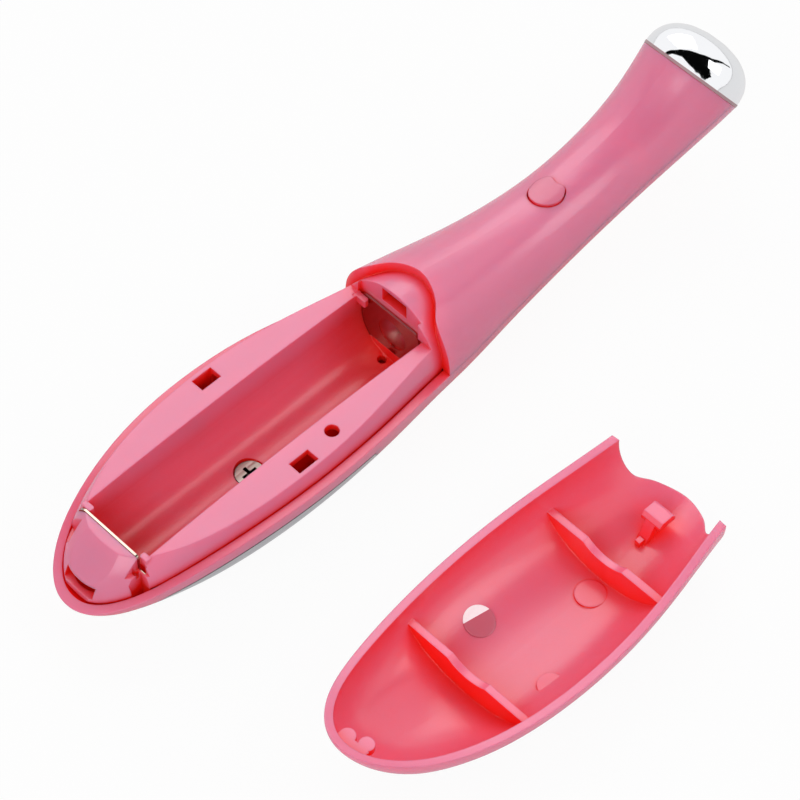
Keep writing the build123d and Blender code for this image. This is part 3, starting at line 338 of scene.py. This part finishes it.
# ---------------------------------------------------------------- belly plate
# A thin bright sheet let into the belly shell. It is plain here, with the faint
# rolling lines of the sheet along the wand and a dark line round its edge.
ALONG_THE_WAND = (0.03, 1.0, 1.0)  # draws the grain out into lines
BRIGHTEST, DULLEST = -0.05, 0.08  # how the roughness varies from line to line
CREVICE_REACH = 0.0012
CREVICE_CLOSED, CREVICE_OPEN = 0.45, 0.85
EDGE_LINE = 0.0005
EDGE_TURNED, EDGE_FLAT = 0.92, 0.995  # how far the surface has turned near an edge


def rolled_metal(name, colour, other, roughness, line_mm, bump_m, crevice_shade_colour=None, edge=None):
    """Metal with fine lines along the wand at a stated spacing and depth.

    The crevice colour is painted into its crevices as shade where they close in, and edge is the colour of
    a line along its edges."""
    material, tree, out = new_material(name)
    where = add_node(tree, "ShaderNodeTexCoord").outputs["Object"]
    drawn = add_node(tree, "ShaderNodeMapping", inputs={"Vector": where, "Scale": ALONG_THE_WAND})
    lines = add_node(tree, "ShaderNodeTexNoise", inputs={
        "Vector": drawn.outputs[0], "Scale": 1000.0 / line_mm, "Detail": 3.0, "Roughness": FINER_LAYERS})
    tint = add_node(tree, "ShaderNodeMix", {"data_type": "RGBA"}, {
        FACTOR: lines.outputs["Fac"], FIRST: linear(colour), SECOND: linear(other)})
    rough = add_node(tree, "ShaderNodeMapRange", inputs={
        "Value": lines.outputs["Fac"], "To Min": roughness + BRIGHTEST, "To Max": roughness + DULLEST})
    skin = add_node(tree, "ShaderNodeBump", inputs={"Height": lines.outputs["Fac"], "Distance": bump_m})
    if crevice_shade_colour:
        # painted shade: the colour darkens towards the crevice colour where the surface closes in
        crevice = add_node(tree, "ShaderNodeAmbientOcclusion", {"samples": OPENNESS_SAMPLES}, {
            "Distance": CREVICE_REACH})
        painted_crevice_shade_share = add_node(tree, "ShaderNodeMapRange", inputs={
            "Value": crevice.outputs["AO"], "From Min": CREVICE_CLOSED, "From Max": CREVICE_OPEN,
            "To Min": 1.0, "To Max": 0.0})
        tint = add_node(tree, "ShaderNodeMix", {"data_type": "RGBA"}, {
            FACTOR: painted_crevice_shade_share.outputs[0], FIRST: tint.outputs[MIXED], SECOND: linear(crevice_shade_colour)})
    if edge:
        turned = add_node(tree, "ShaderNodeBevel", {"samples": 8}, {"Radius": EDGE_LINE})
        plain = add_node(tree, "ShaderNodeNewGeometry")
        facing = add_node(tree, "ShaderNodeVectorMath", {"operation": "DOT_PRODUCT"}, {
            0: turned.outputs[0], 1: plain.outputs["Normal"]})
        near_edge = add_node(tree, "ShaderNodeMapRange", inputs={
            "Value": facing.outputs["Value"], "From Min": EDGE_TURNED, "From Max": EDGE_FLAT,
            "To Min": 1.0, "To Max": 0.0})
        tint = add_node(tree, "ShaderNodeMix", {"data_type": "RGBA"}, {
            FACTOR: near_edge.outputs[0], FIRST: tint.outputs[MIXED], SECOND: linear(edge)})
    metal = add_node(tree, "ShaderNodeBsdfPrincipled", inputs={
        "Base Color": tint.outputs[MIXED], "Roughness": rough.outputs[0], "Normal": skin.outputs[0],
        "Metallic": 1.0})
    tree.links.new(metal.outputs[0], out.inputs["Surface"])
    return material


dress(("front_plate",), rolled_metal(
    "bright_rolled_aluminium", "d0d0d4", "bdbdc2", roughness=0.20, line_mm=0.35, bump_m=0.000004,
    edge="2a1518"))

# ---------------------------------------------------------------- contacts and screw
# Nickel-plated spring sheet, stamped and bent, pushed into the ends of the trough,
# and a small cross-recess screw of plated steel in the floor of the trough.
dress(("contact_nose", "contact_neck"), rolled_metal(
    "nickel_plated_spring_sheet", "b8a99d", "a3958a", roughness=0.13, line_mm=1.6, bump_m=0.000004))
# On the screw, the dark second colour mottles the head as painted dark reflections, and the crevice colour
# is painted shade in its cross recess.
dress(("tray_screw",), rolled_metal(
    "nickel_plated_screw_steel", "d6cfc6", "6e6057", roughness=0.30, line_mm=0.9, bump_m=0.00006,
    crevice_shade_colour="1e1512"))

# ---------------------------------------------------------------- massage head
# A drawn metal cap, mirror plated, held on a white carrier behind a thin
# insulating ring. A ceramic heater and its pad sit under it. The chrome is almost a
# mirror, with a little waviness from the buffing wheel.
BUFFING_WAVES = 140.0  # about 7 mm across
BUFFING_DEPTH = 0.00003
SCUFFS = 2400.0  # about 0.4 mm across

mirror_chrome, tree, out = new_material("mirror_chrome_plating")
where = add_node(tree, "ShaderNodeTexCoord").outputs["Object"]
buffing = add_node(tree, "ShaderNodeTexNoise", inputs={
    "Vector": where, "Scale": BUFFING_WAVES, "Detail": 1.0, "Roughness": FINER_LAYERS})
scuffs = add_node(tree, "ShaderNodeTexNoise", inputs={
    "Vector": where, "Scale": SCUFFS, "Detail": 4.0, "Roughness": FINER_LAYERS})
rough = add_node(tree, "ShaderNodeMapRange", inputs={
    "Value": scuffs.outputs["Fac"], "To Min": 0.03, "To Max": 0.09})
tint = add_node(tree, "ShaderNodeMix", {"data_type": "RGBA"}, {
    FACTOR: buffing.outputs["Fac"], FIRST: linear("f8f9fb"), SECOND: linear("f2f3f6")})
skin = add_node(tree, "ShaderNodeBump", inputs={
    "Height": buffing.outputs["Fac"], "Distance": BUFFING_DEPTH})
metal = add_node(tree, "ShaderNodeBsdfPrincipled", inputs={
    "Base Color": tint.outputs[MIXED], "Roughness": rough.outputs[0], "Normal": skin.outputs[0],
    "Metallic": 1.0})
tree.links.new(metal.outputs[0], out.inputs["Surface"])
dress(("head_cap",), mirror_chrome)
# The ring is a real part, but its grey-pink is a painted reflection of the pink neck in the chrome's edge.
dress(("head_ring",), plain_plastic(
    "grey_ring_with_painted_pink_reflection", "ab8a8e", "9c7c80", roughness=0.38, grain_mm=0.25))
dress(("head_seat",), plain_plastic(
    "white_glass_filled_nylon", "e2ddd3", "d5cfc4", roughness=0.50, grain_mm=0.3))
dress(("heater_disc",), plain_plastic(
    "sintered_alumina", "eeebe2", "e4e0d5", roughness=0.55, grain_mm=0.08))
dress(("heat_pad",), plain_plastic("grey_silicone_pad", "7b8790", "6e7982", roughness=0.70, grain_mm=0.2))

# ---------------------------------------------------------------- vibration motor
# A small can motor in a rubber sleeve in the neck, with an off-centre weight of
# sintered heavy metal on its shaft. The weight keeps the pores of its powder.
PORES = 6000.0  # about 0.17 mm across
PORE_DEPTH = 0.00002

dress(("motor_can",), rolled_metal(
    "plated_drawn_steel", "c6c6c4", "b4b4b2", roughness=0.28, line_mm=0.2, bump_m=0.000004))
dress(("motor_shaft",), rolled_metal(
    "ground_steel", "cfcfce", "bebebd", roughness=0.20, line_mm=0.1, bump_m=0.000002))
dress(("motor_end_cap",), plain_plastic("black_nylon", "1b1b1c", "252527", roughness=0.45, grain_mm=0.2))
dress(("motor_sleeve",), plain_plastic(
    "black_soft_rubber", "18191a", "232425", roughness=0.75, grain_mm=0.15))
heavy_metal, tree, out = new_material("sintered_heavy_metal")
where = add_node(tree, "ShaderNodeTexCoord").outputs["Object"]
pores = add_node(tree, "ShaderNodeTexNoise", inputs={
    "Vector": where, "Scale": PORES, "Detail": 3.0, "Roughness": FINER_LAYERS})
tint = add_node(tree, "ShaderNodeMix", {"data_type": "RGBA"}, {
    FACTOR: pores.outputs["Fac"], FIRST: linear("8b8884"), SECOND: linear("6f6c69")})
skin = add_node(tree, "ShaderNodeBump", inputs={"Height": pores.outputs["Fac"], "Distance": PORE_DEPTH})
metal = add_node(tree, "ShaderNodeBsdfPrincipled", inputs={
    "Base Color": tint.outputs[MIXED], "Normal": skin.outputs[0], "Metallic": 1.0, "Roughness": 0.5})
tree.links.new(metal.outputs[0], out.inputs["Surface"])
dress(("eccentric_weight",), heavy_metal)

# ---------------------------------------------------------------- control board
# A small glass-epoxy board with green solder mask stands on ledges under the
# button. It carries the switch and the driver chip.
WEAVE = 900.0  # bands of the glass cloth per metre
WEAVE_DEPTH = 0.00001

board_green, tree, out = new_material("solder_masked_glass_epoxy")
where = add_node(tree, "ShaderNodeTexCoord").outputs["Object"]
weave = add_node(tree, "ShaderNodeTexWave", {"wave_type": "BANDS", "bands_direction": "DIAGONAL"}, {
    "Vector": where, "Scale": WEAVE, "Distortion": 2.0})
tint = add_node(tree, "ShaderNodeMix", {"data_type": "RGBA"}, {
    FACTOR: weave.outputs["Fac"], FIRST: linear("1d6b3a"), SECOND: linear("175c31")})
skin = add_node(tree, "ShaderNodeBump", inputs={"Height": weave.outputs["Fac"], "Distance": WEAVE_DEPTH})
mask = add_node(tree, "ShaderNodeBsdfPrincipled", inputs={
    "Base Color": tint.outputs[MIXED], "Normal": skin.outputs[0], "Roughness": 0.30})
tree.links.new(mask.outputs[0], out.inputs["Surface"])
dress(("circuit_board",), board_green)
dress(("driver_chip",), plain_plastic(
    "black_moulded_epoxy", "1a1a1b", "242425", roughness=0.55, grain_mm=0.12))

# ---------------------------------------------------------------- leads and their joints
# Six thin stranded leads in soft insulation, red and black, run inside the shells
# from the contacts, the motor and the heater to the board, and end in solder beads.
dress(("lead_battery_neck", "lead_motor_a", "lead_heater_a"), plain_plastic(
    "red_soft_insulation", "a81c1c", "961616", roughness=0.42, grain_mm=0.25))
dress(("lead_battery_nose", "lead_motor_b", "lead_heater_b"), plain_plastic(
    "black_soft_insulation", "1c1c1d", "262627", roughness=0.42, grain_mm=0.25))
dress(("solder_joints",), rolled_metal(
    "tin_solder", "c4c5c6", "adaeb0", roughness=0.25, line_mm=0.3, bump_m=0.000006))
